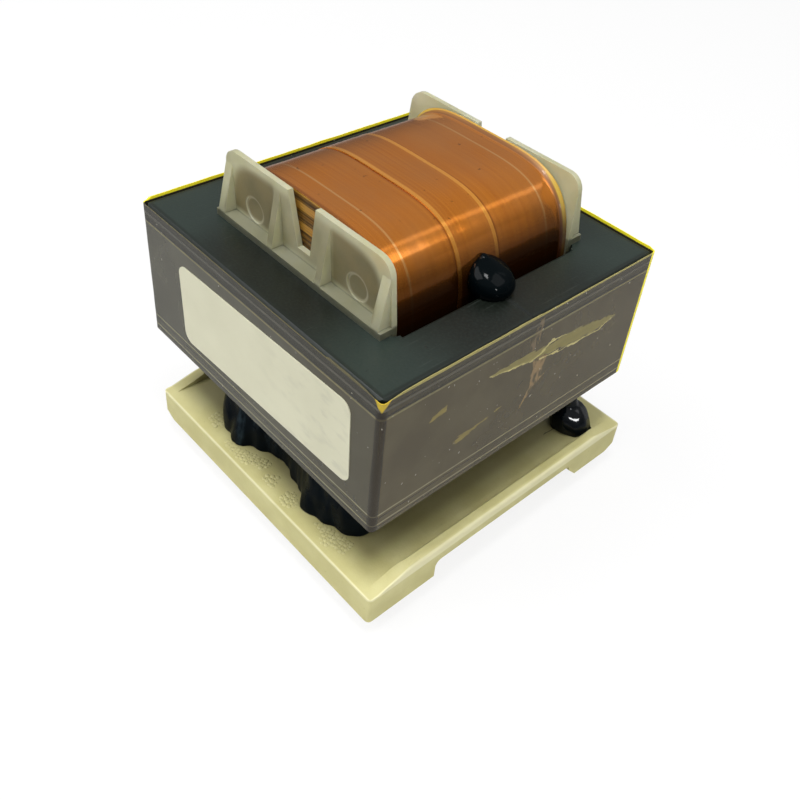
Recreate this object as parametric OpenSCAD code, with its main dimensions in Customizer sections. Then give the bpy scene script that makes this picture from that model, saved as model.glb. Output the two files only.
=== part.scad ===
// Power transformer on a pin base: two E cores lie flat around a wound bobbin, held by tape bands,
// and the whole is glued onto a moulded plate with terminal pins.
// Millimetres. Z = 0 is the board under the feet, and X = Y = 0 is the middle of the pins.
// The label faces -Y, and the coil's axis lies along Y.

/* [Core] */
// Width across the three legs
core_w = 55.2; // [54:0.1:56.2]
// Depth of one half, from its back to the joint
core_half_d = 27.6; // [27:0.1:28]
// Height of the legs
core_h = 24.6; // [23.6:0.1:25.4]
// Clear width between the outer legs
window_w = 38.6; // [37.6:0.1:39.4]
// Depth of one half's windows
window_d = 18.6; // [18:0.1:19.2]
// Width of the centre leg
centre_leg_w = 17.2; // [16.4:0.1:18]
// Length ground off the two centre legs for the air gap
air_gap = 0.8; // [0.1:0.1:2]
// Radius of the upright outer corners
core_corner_r = 1.5; // [0.5:0.1:3]
// Bevel along the outer edges, top and bottom
core_bevel = 0.5; // [0.2:0.1:1]
// Radius in the windows' closed corners
window_corner_r = 1.2; // [0.4:0.1:2]
// Bevel around the windows, top and bottom
window_bevel = 0.6; // [0.2:0.1:1]
// How far the wound core was glued off the pins' middle, along X
core_shift_x = -1.9; // [-2.4:0.1:2.4]
// How far it was glued off the pins' middle, along Y
core_shift_y = -0.7; // [-1.4:0.1:1.4]

/* [Core tape] */
// Thickness of one wrapped band, two turns of film
core_tape_t = 0.14; // [0.08:0.02:0.3]
// Width of the narrow band against the core
inner_tape_w = 19; // [15:0.5:22]
// Height of the wide band's lower edge above the core's underside
outer_tape_low = 0.5; // [0.2:0.1:2]
// How far the wide band's upper edge stands above the core
outer_tape_lip = 0.5; // [0.1:0.1:1.2]

/* [Label] */
// Width of the blank label
label_w = 40.4; // [30:0.2:46]
// Height of the blank label
label_h = 14.4; // [10:0.2:18]
// Thickness of the label
label_t = 0.12; // [0.08:0.02:0.3]
// Radius of the label's corners
label_r = 1.8; // [0.5:0.1:4]
// How far the label was stuck off the core's middle, along X
label_shift_x = 2.4; // [-4:0.1:4]
// How far it was stuck above the core's half height
label_shift_z = 0.2; // [-2:0.1:2]
// Turn of the label on the face, in degrees
label_turn = 2; // [-4:0.5:4]

/* [Bobbin] */
// Clearance of the bore around the centre leg
bore_gap = 0.3; // [0.1:0.05:0.6]
// Wall of the square tube
tube_wall = 1.2; // [0.8:0.1:1.6]
// Radius of the tube's outer corners
tube_corner_r = 1; // [0.4:0.1:2]
// Thickness of the flanges
flange_t = 0.9; // [0.8:0.1:1.6]
// How far each flange leans out at its top, pushed by the coil
flange_lean = 0.6; // [0.2:0.1:1]
// Gap between a flange and the core's back wall
flange_gap = 0.3; // [0.1:0.05:0.8]
// Gap between a flange's side and the outer leg
flange_side_gap = 0.6; // [0.3:0.05:1]
// How far each side of a flange tapers in at its free edges
flange_taper = 0.5; // [0:0.1:1.5]
// Height of the flanges above the core
flange_rise = 11.2; // [9:0.1:14]
// Depth of the flanges below the core, down to the base
flange_drop = 12.3; // [11:0.1:14]
// Radius of the flanges' free corners
flange_corner_r = 2.6; // [1:0.1:4]
// Depth of the ledges that clip over the core
ledge_d = 2.1; // [1:0.1:3]
// Thickness of the ledges
ledge_t = 1.1; // [0.8:0.1:2]
// Width of the lead slot at the flange's free edge
slot_mouth_w = 6.1; // [4:0.1:8]
// Width of the lead slot at its floor
slot_floor_w = 2.8; // [2:0.1:4]
// Height of the slot's floor off the core
slot_floor_h = 2.7; // [2:0.1:4]
// Thickness of the gussets beside the slot
gusset_t = 1.2; // [0.8:0.1:2]
// Distance of the slot's gussets from the middle
gusset_x = 5.5; // [4.6:0.1:7]
// Thickness of the gussets at the flange's ends
end_gusset_t = 1.6; // [1:0.1:2.4]
// Distance from the gussets' tips to the flange's free edge
gusset_tip_gap = 1.2; // [0.5:0.1:3]
// Diameter of the round moulding marks on the panels
mark_d = 4.2; // [2:0.1:5]
// Depth of the moulding marks
mark_depth = 0.2; // [0.1:0.05:0.4]
// Gap between a moulding mark and its ledge
mark_gap = 0.3; // [0.2:0.1:1]
// Distance of the moulding marks from the middle
mark_x = 11.6; // [10:0.1:13]

/* [Windings] */
// Gap between the coil's side and the outer leg
coil_side_gap = 1.2; // [0.7:0.1:2]
// Gap between the coil's end and a flange
coil_end_gap = 0.1; // [0.05:0.05:0.5]
// How far the coil stands above and below the core
coil_rise = 10.8; // [9:0.1:11]
// Squareness of the coil's section: higher is squarer
coil_squareness = 4; // [3:0.5:6]
// Build of the inner half of the primary
inner_primary_t = 2.2; // [1.5:0.1:2.8]
// Build of the secondary
secondary_t = 2.4; // [1.8:0.1:3]
// Build of each insulating wrap
insulation_t = 0.3; // [0.1:0.05:0.5]
// Width of the margin tapes at each end of a winding
margin_w = 3; // [2:0.1:5]
// Thickness of the outer tape strips
strip_t = 0.15; // [0.1:0.05:0.3]
// Width of the middle outer strip
middle_strip_w = 8.2; // [6:0.1:14]
// How far the middle strip lies off the coil's middle, toward the rear
middle_strip_y = -0.9; // [-2:0.1:2]
// How far the middle strip laps over its neighbours
strip_lap = 1; // [0.5:0.1:2]

/* [Base] */
// Width of the base along X
base_w = 55.8; // [54:0.1:60]
// Depth of the base along Y
base_d = 58.8; // [56:0.1:62]
// Height of the base's top above the board
base_h = 5.4; // [4.6:0.1:6]
// Thickness of the plate between the foot rails
plate_t = 1.9; // [1.4:0.1:2.6]
// Depth of each foot rail
rail_d = 13.4; // [11:0.1:16]
// Radius where the plate runs into the rails
rail_fillet = 1.2; // [0.5:0.1:2]
// How far the rear rail's inner side slopes back towards its foot
rail_slope = 2.2; // [0:0.1:3]
// Length of the bevel under two opposite corners of the base
base_bevel = 2.6; // [1:0.1:4]
// Height of that bevel
base_bevel_h = 1.4; // [0.6:0.1:2.4]
// Radius of the base's upright corners
base_corner_r = 0.8; // [0.3:0.1:2]
// Width of the raised rib along the sides
rib_w = 2; // [1.4:0.1:3]
// Height of the rib
rib_h = 1.7; // [1:0.1:2.4]
// Radius of the rib's rounded top
rib_r = 0.8; // [0.3:0.1:1]
// Distance from the rib's ends to the base's edges
rib_end_gap = 1.6; // [0.5:0.1:4]
// Length of the slope at each end of the rib
rib_ramp = 7; // [3:0.5:10]

/* [Pins] */
// Pins in each row
pins_per_row = 6; // [4:2:6]
// Distance between pins in a row
pin_pitch = 5; // [4:0.1:5.4]
// Distance between the two rows
pin_rows = 42; // [41:0.1:44]
// Diameter of a pin
pin_d = 1; // [0.8:0.05:1.3]
// Length of a pin below the feet
pin_out = 3.5; // [2.5:0.1:5]
// Height of a pin's head above the plate
pin_head_h = 1.2; // [0.8:0.1:1.6]
// Diameter of a pin's shank, in the base and above it
pin_shank_d = 1.4; // [1.4:0.05:1.5]
// Diameter of the collar that seats on the plate
pin_collar_d = 2; // [1.6:0.1:2.6]
// Thickness of the collar
pin_collar_t = 0.5; // [0.3:0.1:0.8]
// Clearance around a pin in its hole
pin_gap = 0.05; // [0.02:0.01:0.1]

/* [Leads] */
// Diameter of a sleeved lead
lead_d = 1.2; // [0.8:0.1:1.4]
// Diameter of a lead's bends, as a multiple of its own
lead_bend = 1.5; // [1.45:0.05:1.6]
// Thickness of a lead where it wraps onto its pin, over its diameter
lead_wrap = 1.25; // [1.2:0.05:1.3]
// Gap between the bends of two leads that share a slot
lead_gap = 0.4; // [0.2:0.05:0.5]
// Height of the lowest leads above the pin heads
lead_rise = 1.4; // [1.2:0.1:1.6]
// Step in height between leads
lead_step = 2; // [1.9:0.1:2.2]
// How far the leads run straight out of the flange
lead_reach = 2.2; // [1.8:0.1:2.4]

/* [Glue] */
// How much wider a lump is at its foot than where it meets the core
lump_flare = 0.6; // [0.3:0.1:1.2]
// Height of a lump's widened foot
lump_foot_h = 4.2; // [2:0.1:8]
// Thickness of the glue run along the pins behind the lumps
glue_run_t = 2.6; // [1.6:0.1:3]
// Gap between the lumps and the bobbin
lump_gap = 0.2; // [0.1:0.05:0.5]
// Foot radius of the lump at the base's corner
corner_lump_r = 3.9; // [3:0.1:5]
// Distance of the corner lump from the base's side
corner_lump_x = 6.1; // [4.4:0.1:8]
// Distance of the corner lump from the base's back edge
corner_lump_y = 6.8; // [5:0.1:8]
// Foot radius of the bead on the outer leg
bead_r = 3.6; // [3:0.1:5]
// Height of the bead
bead_h = 5.2; // [4:0.1:8]
// Lean of the bead towards the coil, in degrees
bead_lean = 20; // [0:1:24]
// Distance of the bead's middle from the leg's inner face
bead_in = 0.2; // [0.1:0.1:2]

/* [Hidden] */
$fn = 48;

// Past this far, a cut is clear of what it cuts
over = 1;
FRONT = -1;
REAR = 1;

core_d = 2 * core_half_d;
core_z = base_h + flange_drop;
coil_z = core_h / 2;

// Tube and flanges, from the core that they fit
tube_half_w = centre_leg_w / 2 + bore_gap + tube_wall;
tube_half_h = core_h / 2 + bore_gap + tube_wall;
flange_w = window_w - 2 * flange_side_gap;
flange_y = window_d - flange_gap;
bore_flare = max(window_corner_r - bore_gap, 0);
lean_z = core_h + ledge_t / 2;
lean_slope = flange_lean / (core_h + flange_rise - lean_z);

// The coil fills the window up to its side gap, and the outer primary takes what the rest leaves
coil_len = 2 * (flange_y - flange_t - coil_end_gap);
coil_build = window_w / 2 - coil_side_gap - tube_half_w;
coil_crown = (core_h / 2 + coil_rise - tube_half_h) / coil_build;
inner_primary_end = inner_primary_t;
secondary_start = inner_primary_end + insulation_t;
secondary_end = secondary_start + secondary_t;
outer_primary_start = secondary_end + insulation_t;
strips_start = coil_build - 2 * strip_t;
outer_primary_end = strips_start - insulation_t;
side_strips_end = strips_start + strip_t;
tube_squareness = 10;

// The middle pair of pins in a row stays free
leads_per_side = pins_per_row / 2 - 1;
lead_x = lead_d * lead_bend / 2 + lead_gap / 2;
pin_head_z = base_h + pin_head_h;

// Lumps of glue along the front pins: place along the row, offset to the back, foot radius
front_lumps = [
    [-14, -2.1, 3.4], [-9.6, -2.5, 3.7], [-4.9, -1.4, 3], [-0.4, -0.6, 2.7],
    [4.3, -1.2, 2.9], [9.3, -2.3, 3.6], [14.9, -1.1, 3.7]
];
// The same along the rear pins
rear_lumps = [
    [-12, 0.8, 3.4], [-7.2, 0.6, 3.2], [-2.4, 0.4, 3], [2.4, 0.6, 3.2], [7.4, 0.8, 3.2], [12, 0.6, 3.4]
];

function sgn(v) = v < 0 ? -1 : 1;

// How far a flange leans out at a height: its lean starts inside the upper ledge
function lean(z) = max(0, z - lean_z) * lean_slope;

// Outline of the coil at a given build outside the tube: a square that rounds and swells as it grows
function coil_outline(build, steps = 96) =
    let (
        half_w = tube_half_w + build,
        half_h = tube_half_h + build * coil_crown,
        power = 2 / (tube_squareness + (coil_squareness - tube_squareness) * build / coil_build)
    )
    [for (i = [0 : steps - 1])
        let (c = cos(360 * i / steps), s = sin(360 * i / steps))
        [half_w * sgn(c) * pow(abs(c), power), half_h * sgn(s) * pow(abs(s), power)]];

// Points along an arc, from one angle to another
function arc(centre, r, from, to, steps = 6) =
    [for (i = [0 : steps]) let (a = from + (to - from) * i / steps) centre + r * [cos(a), sin(a)]];

// Place of one pin along its row
function pin_x(i) = (i - (pins_per_row - 1) / 2) * pin_pitch;

// Puts what belongs to the wound core over the base
module on_base() {
    translate([core_shift_x, core_shift_y, core_z]) children();
}

// Turns a section in X and Z into a bar along Y, centred
module along_y(length) {
    rotate([90, 0, 0]) linear_extrude(length, center = true) children();
}

// Turns a section in Y and Z into a bar along X, centred
module along_x(length) {
    rotate([90, 0, 90]) linear_extrude(length, center = true) children();
}

// Rectangle with round corners, centred
module rounded_rect(w, d, r) {
    square([w - 2 * r, d], center = true);
    square([w, d - 2 * r], center = true);
    for (x = [-1, 1], y = [-1, 1])
        translate([x * (w / 2 - r), y * (d / 2 - r)]) circle(r);
}

// Rectangle that stands on its base line, with four bevelled corners
module bevelled_rect(w, h, bevel) {
    polygon([
        [bevel - w / 2, 0], [w / 2 - bevel, 0], [w / 2, bevel], [w / 2, h - bevel],
        [w / 2 - bevel, h], [bevel - w / 2, h], [-w / 2, h - bevel], [-w / 2, bevel]
    ]);
}

// Both halves of the core as one bevelled block
module core_block() {
    intersection() {
        linear_extrude(core_h) rounded_rect(core_w, core_d, core_corner_r);
        along_y(core_d + 2 * over) bevelled_rect(core_w, core_h, core_bevel);
        along_x(core_w + 2 * over) bevelled_rect(core_d, core_h, core_bevel);
    }
}

// One window of a half, open towards the joint, with its edges bevelled
module core_window() {
    side = (window_w - centre_leg_w) / 2;
    open = window_corner_r + over;
    edge = window_bevel * sqrt(2);
    middle = (window_w + centre_leg_w) / 4;
    translate([middle, (window_d - open) / 2, -over])
        linear_extrude(core_h + 2 * over) rounded_rect(side, window_d + open, window_corner_r);
    for (z = [0, core_h]) {
        translate([window_w / 2, (window_d - open) / 2, z])
            rotate([0, 45, 0]) cube([edge, window_d + open - 2 * window_corner_r, edge], center = true);
        translate([middle, window_d, z])
            rotate([45, 0, 0]) cube([side - 2 * window_corner_r, edge, edge], center = true);
    }
}

// One E core, with its back wall to the front or to the rear
module core_half(end) {
    difference() {
        core_block();
        translate([-core_w, end == FRONT ? 0 : -core_d, -over]) cube([2 * core_w, core_d, core_h + 2 * over]);
        for (side = [0, 1])
            mirror([side, 0, 0]) mirror([0, end == FRONT ? 1 : 0, 0]) core_window();
        cube([centre_leg_w + 2 * over, air_gap, 3 * core_h], center = true);
    }
}

// One band of tape around the core, at a height and over what is already wrapped
module core_band(low, high, inside) {
    translate([0, 0, low]) linear_extrude(high - low) difference() {
        rounded_rect(core_w + 2 * (inside + core_tape_t), core_d + 2 * (inside + core_tape_t),
            core_corner_r + inside + core_tape_t);
        rounded_rect(core_w + 2 * inside, core_d + 2 * inside, core_corner_r + inside);
    }
}

// Outline of the tube, which the first winding lies on
module tube_outline() {
    rounded_rect(2 * tube_half_w, 2 * tube_half_h, tube_corner_r);
}

// Face of a flange, seen along Y: tapered to the free edges, with a lead slot in each
module flange_face() {
    tip = flange_w / 2 - flange_taper;
    r = flange_corner_r;
    top = core_h + flange_rise;
    low = -flange_drop;
    difference() {
        polygon(concat(
            [[flange_w / 2, 0], [flange_w / 2, core_h]],
            arc([tip - r, top - r], r, 0, 90), arc([r - tip, top - r], r, 90, 180),
            [[-flange_w / 2, core_h], [-flange_w / 2, 0]],
            arc([r - tip, low + r], r, 180, 270), arc([tip - r, low + r], r, 270, 360)
        ));
        lead_slot(core_h + slot_floor_h, top);
        lead_slot(-slot_floor_h, low);
    }
}

// Plate of a rear flange: upright in the window, leaning out above it
module flange_plate() {
    far = core_h + flange_rise + over;
    low = -flange_drop - over;
    near = flange_y - flange_t;
    intersection() {
        translate([0, flange_y, 0]) along_y(2 * (flange_t + flange_lean + over)) flange_face();
        along_x(flange_w + 2 * over) polygon([
            [near, low], [flange_y, low], [flange_y, lean_z], [flange_y + lean(far), far],
            [near + lean(far), far], [near, lean_z]
        ]);
    }
}

// Lead slot, from its floor to the flange's free edge and on past it
module lead_slot(floor_z, edge_z) {
    past = over * sgn(edge_z - floor_z);
    polygon([
        [-slot_floor_w / 2, floor_z], [slot_floor_w / 2, floor_z], [slot_mouth_w / 2, edge_z],
        [slot_mouth_w / 2, edge_z + past], [-slot_mouth_w / 2, edge_z + past], [-slot_mouth_w / 2, edge_z]
    ]);
}

// Ledge over the core and the gussets that brace the flange to it, for a rear flange's free edge
module ledge(seat_z, edge_z) {
    up = sgn(edge_z - seat_z);
    face_z = seat_z + up * ledge_t;
    tip_z = edge_z - up * gusset_tip_gap;
    end_x = flange_w / 2 - flange_taper - end_gusset_t / 2;
    translate([-flange_w / 2, flange_y - flange_t / 2, min(seat_z, face_z)])
        cube([flange_w, ledge_d + flange_t / 2, ledge_t]);
    for (side = [-1, 1]) {
        translate([side * gusset_x, 0, 0]) gusset(gusset_t, face_z, tip_z);
        translate([side * end_x, 0, 0]) gusset(end_gusset_t, face_z, tip_z - up * flange_corner_r / 2);
    }
}

// Three-cornered rib between a flange and its ledge
module gusset(thick, foot_z, tip_z) {
    root = flange_y - flange_t / 2;
    along_x(thick) polygon([
        [root + lean(foot_z), foot_z], [flange_y + ledge_d, foot_z],
        [flange_y + lean(tip_z), tip_z], [root + lean(tip_z), tip_z]
    ]);
}

// Round marks that the mould's pins leave on the outer panels of a rear flange
module moulding_marks() {
    off = ledge_t + mark_gap + mark_d / 2;
    for (x = [-mark_x, mark_x], z = [core_h + off, -off])
        translate([x, flange_y + lean(z), z]) rotate([z > 0 ? 90 - atan(lean_slope) : 90, 0, 0])
        translate([0, 0, -over]) cylinder(d = mark_d, h = over + mark_depth);
}

// Bore of the tube, flared at both mouths to clear the round inside corners of the core
module bore() {
    half = centre_leg_w / 2 + bore_gap;
    neck_y = flange_y - bore_flare;
    mouth = half + bore_flare + over;
    mouth_y = flange_y + over;
    translate([0, 0, -bore_gap]) linear_extrude(core_h + 2 * bore_gap) polygon([
        [half, -neck_y], [half, neck_y], [mouth, mouth_y], [-mouth, mouth_y],
        [-half, neck_y], [-half, -neck_y], [-mouth, -mouth_y], [mouth, -mouth_y]
    ]);
}

// Ring of the coil between two builds, along a stretch of the axis
module coil_ring(from, to, start_y, end_y) {
    translate([0, (start_y + end_y) / 2, coil_z]) along_y(end_y - start_y) difference() {
        polygon(coil_outline(to));
        if (from > 0) polygon(coil_outline(from));
        else tube_outline();
    }
}

// Copper between two builds, short of the flanges by its margins
module winding(from, to) {
    on_base() coil_ring(from, to, margin_w - coil_len / 2, coil_len / 2 - margin_w);
}

// Wrap of tape between two builds, from flange to flange
module wrap(from, to) {
    on_base() coil_ring(from, to, -coil_len / 2, coil_len / 2);
}

// Margin tapes beside the three windings, at one end of the coil
module margin_tapes(end) {
    outside = end * coil_len / 2;
    inside = end * (coil_len / 2 - margin_w);
    for (stretch = [
        [0, inner_primary_end], [secondary_start, secondary_end], [outer_primary_start, outer_primary_end]
    ])
        on_base() coil_ring(stretch[0], stretch[1], min(inside, outside), max(inside, outside));
}

// One outer strip beside the middle one
module side_strip(end) {
    lap_y = middle_strip_y + end * (middle_strip_w / 2 - strip_lap);
    outside = end * coil_len / 2;
    on_base() coil_ring(strips_start, side_strips_end, min(lap_y, outside), max(lap_y, outside));
}

// Section of the base in Y and Z: a plate on two foot rails, the rear one sloped inside
module base_section() {
    half = base_d / 2 - rail_d;
    under = base_h - plate_t;
    difference() {
        translate([-base_d / 2, 0]) square([base_d, base_h]);
        rounded_rect(2 * half, 2 * under, rail_fillet);
        polygon([[0, -over], [half + rail_slope, -over], [half + rail_slope, 0], [half, under - rail_fillet], [0, 0]]);
    }
}

// Bevel under the front left corner of the base
module corner_cut() {
    lean = atan2(sqrt(2) / base_bevel, 1 / base_bevel_h);
    big = 4 * base_bevel;
    translate([base_bevel - base_w / 2, -base_d / 2, 0]) rotate([0, lean, 45])
        translate([-big / 2, -big / 2, -big]) cube(big);
}

// Raised rib along one side of the base, sloped at its ends and rounded on top
module base_rib() {
    half = base_d / 2 - rib_end_gap;
    intersection() {
        along_x(rib_w) polygon([
            [-half, -over], [-half, 0], [rib_ramp - half, rib_h], [half - rib_ramp, rib_h], [half, 0], [half, -over]
        ]);
        along_y(base_d) rounded_rect(rib_w, 2 * rib_h, rib_r);
    }
}

// Row of stepped pins: shanks through the base with a collar on it, thinner ends below the feet
module pin_row(end, gap = 0) {
    for (i = [0 : pins_per_row - 1])
        translate([pin_x(i), end * pin_rows / 2, 0]) {
            if (gap > 0)
                translate([0, 0, -pin_out]) cylinder(d = pin_shank_d + 2 * gap, h = pin_out + pin_head_z);
            else {
                translate([0, 0, -pin_out]) cylinder(d = pin_d, h = pin_out + base_h / 2);
                cylinder(d = pin_shank_d, h = pin_head_z);
                translate([0, 0, base_h]) cylinder(d = pin_collar_d, h = pin_collar_t);
            }
        }
}

// Round bar between two points, stopped short of either by a given length
module bar(from, to, d, short_from, short_to) {
    run = to - from;
    translate(from + run * short_from / norm(run))
        rotate([0, acos(run.z / norm(run)), atan2(run.y, run.x)])
        cylinder(d = d, h = norm(run) - short_from - short_to);
}

// Leads of one end: out of the coil through the flange's slot, across to a pin and down onto its head
module lead_set(end) {
    for (side = [-1, 1], i = [0 : leads_per_side - 1]) {
        level = pin_head_z + lead_rise + i * lead_step;
        slot_x = core_shift_x + side * lead_x;
        pin = [side * (i + 1.5) * pin_pitch, end * pin_rows / 2, pin_head_z];
        start = [slot_x, core_shift_y + end * coil_len / 2, level];
        exit = [slot_x, core_shift_y + end * (flange_y + lead_reach), level];
        turn = [pin.x, pin.y, level];
        bar(start, exit, lead_d, 0, lead_d / 2);
        translate(exit) rotate([0, 0, end * 90]) sphere(d = lead_d * lead_bend);
        bar(exit, turn, lead_d, lead_d / 2, lead_d / 2);
        translate(turn) rotate([0, -90, 0]) rotate([90, 0, 0]) sphere(d = lead_d * lead_bend);
        bar(turn, pin, lead_d * lead_wrap, lead_d / 3, 0);
    }
}

// Lump of glue from the plate up to the core, on a wider foot
module lump(foot_r) {
    translate([0, 0, base_h]) {
        cylinder(r1 = foot_r, r2 = foot_r - lump_flare, h = lump_foot_h);
        cylinder(r = foot_r - lump_flare, h = flange_drop);
    }
}

// Room that the lumps leave for the lower part of a flange with its ledge and gussets
module flange_room(end) {
    near = flange_y + lump_gap;
    on_base() mirror([0, end == FRONT ? 1 : 0, 0]) along_x(core_w) polygon([
        [0, -flange_drop - over], [near, -flange_drop - over], [near, gusset_tip_gap - flange_drop],
        [near + ledge_d, -ledge_t], [near + ledge_d, over], [0, over]
    ]);
}

// Room that the lumps leave around the leads and the pins under them
module lead_room(end) {
    wide = lead_d * lead_bend + 2 * lump_gap;
    run_w = lead_d + 2 * lump_gap;
    slot_w = 2 * lead_x + wide + lump_gap;
    slot_h = (leads_per_side - 1) * lead_step + wide + lump_gap;
    first_level = pin_head_z + lead_rise;
    reach = flange_y + lead_reach;
    translate([core_shift_x - slot_w / 2, core_shift_y, first_level - (wide + lump_gap) / 2])
        mirror([0, end == FRONT ? 1 : 0, 0]) cube([slot_w, reach + wide / 2, slot_h]);
    for (side = [-1, 1], i = [0 : leads_per_side - 1]) {
        level = first_level + i * lead_step;
        pin = [side * (i + 1.5) * pin_pitch, end * pin_rows / 2];
        exit = [core_shift_x + side * lead_x, core_shift_y + end * reach];
        run = pin - exit;
        translate([pin.x, pin.y, base_h - over])
            cylinder(d = wide, h = level + wide / 2 + lump_gap - base_h + over);
        translate([exit.x, exit.y, level - run_w / 2]) rotate([0, 0, atan2(run.y, run.x)])
            translate([0, -run_w / 2, 0]) cube([norm(run), run_w, run_w]);
    }
}

// Row of lumps that buries the pins' heads and the leads' ends
module lump_row(end, lumps) {
    difference() {
        union() {
            for (l = lumps)
                translate([l.x, end * pin_rows / 2 + l.y, 0]) rotate([0, 0, end * 90]) lump(l.z);
            first = lumps[0].x;
            translate([first, (end * pin_rows - glue_run_t) / 2, base_h])
                cube([lumps[len(lumps) - 1].x - first, glue_run_t, flange_drop]);
        }
        pin_row(end);
        lead_room(end);
        flange_room(end);
    }
}

// The bobbin's tube, flanges, ledges and gussets as one moulding
module bobbin_solid() {
    on_base() difference() {
        union() {
            translate([0, 0, coil_z]) along_y(2 * flange_y) tube_outline();
            for (end = [0, 1])
                mirror([0, end, 0]) {
                    flange_plate();
                    ledge(core_h, core_h + flange_rise);
                    ledge(0, -flange_drop);
                }
        }
        for (end = [0, 1])
            mirror([0, end, 0]) moulding_marks();
        bore();
    }
}

// Ivory plate with two foot rails under its front and back edges and a rib along each side
module base_plate() {
    color([0.85, 0.81, 0.62]) difference() {
        union() {
            intersection() {
                linear_extrude(base_h) rounded_rect(base_w, base_d, base_corner_r);
                along_x(base_w) base_section();
            }
            for (side = [-1, 1])
                translate([side * (base_w - rib_w) / 2, 0, base_h]) base_rib();
        }
        for (end = [FRONT, REAR])
            pin_row(end, pin_gap);
        for (turn = [0, 180])
            rotate([0, 0, turn]) corner_cut();
    }
}

module front_pins() {
    color([0.8, 0.8, 0.82]) pin_row(FRONT);
}

module rear_pins() {
    color([0.8, 0.8, 0.82]) pin_row(REAR);
}

module front_leads() {
    color([0.12, 0.12, 0.13]) lead_set(FRONT);
}

module rear_leads() {
    color([0.12, 0.12, 0.13]) lead_set(REAR);
}

module core_half_front() {
    color([0.2, 0.23, 0.22]) on_base() core_half(FRONT);
}

module core_half_rear() {
    color([0.2, 0.23, 0.22]) on_base() core_half(REAR);
}

module core_tape_inner() {
    low = (core_h - inner_tape_w) / 2;
    color([0.42, 0.38, 0.3]) on_base() core_band(low, low + inner_tape_w, 0);
}

module core_tape_outer() {
    color([0.8, 0.74, 0.2]) on_base() core_band(outer_tape_low, core_h + outer_tape_lip, core_tape_t);
}

module label() {
    face_y = -core_half_d - 2 * core_tape_t;
    color([0.93, 0.91, 0.83]) on_base()
        translate([label_shift_x, face_y - label_t / 2, core_h / 2 + label_shift_z])
        rotate([0, -label_turn, 0]) along_y(label_t) rounded_rect(label_w, label_h, label_r);
}

module bobbin() {
    color([0.78, 0.77, 0.68]) bobbin_solid();
}

module inner_primary() {
    color([0.72, 0.38, 0.16]) winding(0, inner_primary_end);
}

module inner_insulation() {
    color([0.85, 0.66, 0.2]) wrap(inner_primary_end, secondary_start);
}

module secondary() {
    color([0.76, 0.42, 0.18]) winding(secondary_start, secondary_end);
}

module middle_insulation() {
    color([0.85, 0.66, 0.2]) wrap(secondary_end, outer_primary_start);
}

module outer_primary() {
    color([0.72, 0.38, 0.16]) winding(outer_primary_start, outer_primary_end);
}

module front_margin_tapes() {
    color([0.8, 0.6, 0.3]) margin_tapes(FRONT);
}

module rear_margin_tapes() {
    color([0.8, 0.6, 0.3]) margin_tapes(REAR);
}

module outer_insulation() {
    color([0.85, 0.66, 0.2]) wrap(outer_primary_end, strips_start);
}

module coil_tape_front() {
    color([0.74, 0.42, 0.12]) side_strip(FRONT);
}

module coil_tape_middle() {
    clear_half = middle_strip_w / 2 - strip_lap;
    color([0.78, 0.46, 0.12]) on_base() translate([0, middle_strip_y, 0]) union() {
        coil_ring(strips_start, side_strips_end, -clear_half, clear_half);
        coil_ring(side_strips_end, coil_build, -middle_strip_w / 2, middle_strip_w / 2);
    }
}

module coil_tape_rear() {
    color([0.74, 0.42, 0.12]) side_strip(REAR);
}

module front_glue() {
    color([0.06, 0.07, 0.08]) lump_row(FRONT, front_lumps);
}

module rear_glue() {
    color([0.06, 0.07, 0.08]) lump_row(REAR, rear_lumps);
}

module corner_glue() {
    color([0.06, 0.07, 0.08])
        translate([base_w / 2 - corner_lump_x, base_d / 2 - corner_lump_y, 0]) lump(corner_lump_r);
}

// Pointed bead that bridges the leg and the coil over the joint of the two halves
module leg_glue() {
    steps = 10;
    sunk = bead_r / 2;
    side = [for (i = [0 : steps])
        let (t = i / steps)
        [bead_r * (1 - t) * (1 + 0.9 * t * (1 - t)), bead_h * t]];
    color([0.06, 0.07, 0.08]) on_base() difference() {
        translate([window_w / 2 + bead_in, 0, core_h])
            rotate([0, -bead_lean, 0])
            rotate_extrude() polygon(concat([[0, -sunk], [bead_r * 0.7, -sunk]], side));
        core_half(FRONT);
        core_half(REAR);
        translate([0, 0, coil_z]) along_y(coil_len) polygon(coil_outline(side_strips_end));
        translate([0, middle_strip_y, coil_z]) along_y(middle_strip_w) polygon(coil_outline(coil_build));
    }
}

base_plate();
front_pins();
rear_pins();
front_leads();
rear_leads();
core_half_front();
core_half_rear();
core_tape_inner();
core_tape_outer();
label();
bobbin();
inner_primary();
inner_insulation();
secondary();
middle_insulation();
outer_primary();
front_margin_tapes();
rear_margin_tapes();
outer_insulation();
coil_tape_front();
coil_tape_middle();
coil_tape_rear();
front_glue();
rear_glue();
corner_glue();
leg_glue();
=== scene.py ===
import math

import bmesh
import bpy
from mathutils import Matrix, Vector, noise


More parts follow.
